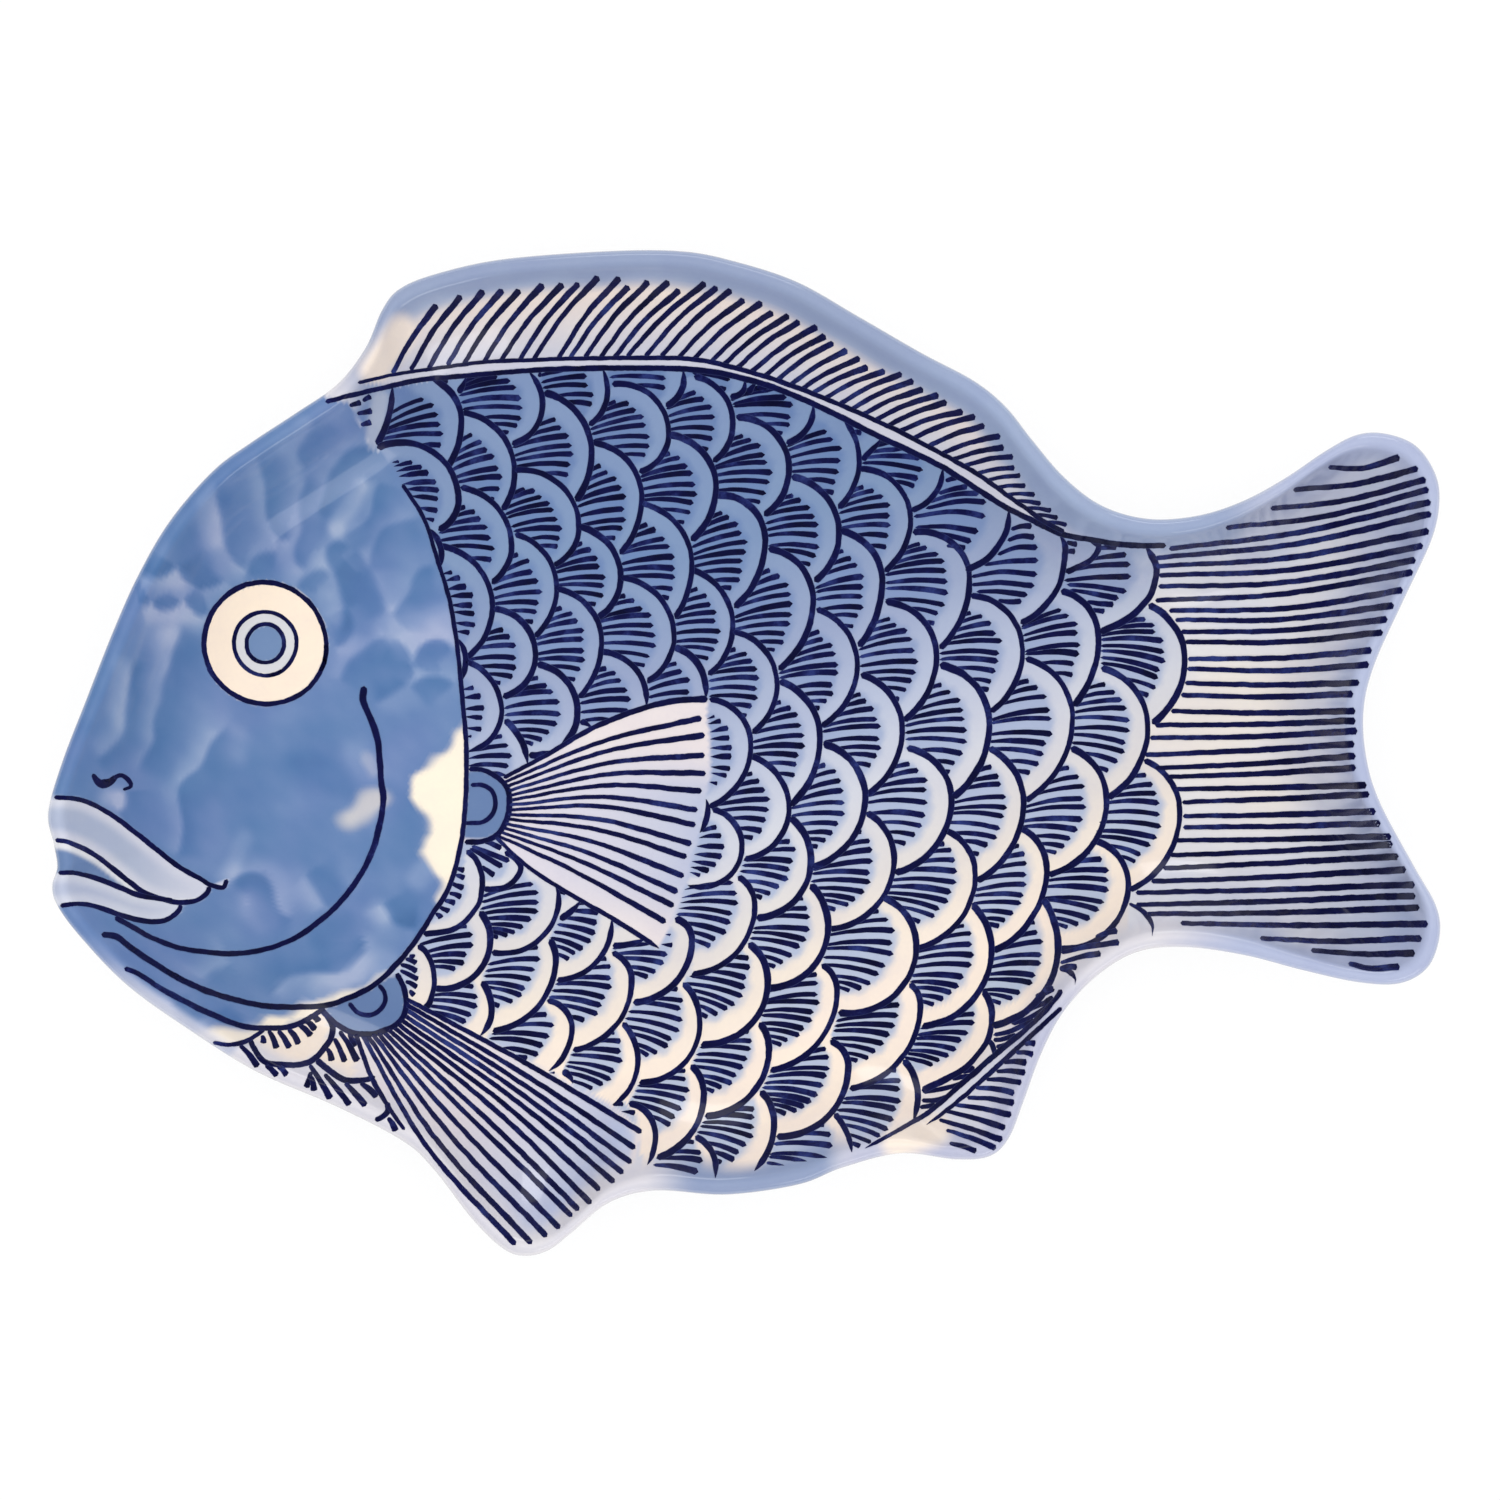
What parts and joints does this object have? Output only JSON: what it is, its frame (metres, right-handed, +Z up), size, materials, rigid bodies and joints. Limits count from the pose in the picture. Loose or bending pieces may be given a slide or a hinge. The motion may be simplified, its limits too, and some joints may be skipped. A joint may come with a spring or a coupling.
{
  "type": "fish shaped platter",
  "caption": "Fish shaped serving platter: a shallow glazed dish with a rounded lip, standing on a foot ring, painted with scales, fins and an eye in blue.",
  "frame": {"origin": "on the table, in the middle of the platter's length and width", "axes": "+X from the lips to the tail fin, +Y towards the back fin, +Z up out of the dish"},
  "size_m": [0.3549, 0.2566, 0.036],
  "materials": {
    "blue_white_glaze": "glossy clear glaze over cobalt brushwork",
    "foot_clay": "glazed flanks, bare ground face"
  },
  "bodies": {
    "root": {"platter_body": "blue_white_glaze", "foot_ring": "foot_clay"}
  },
  "joints": []
}
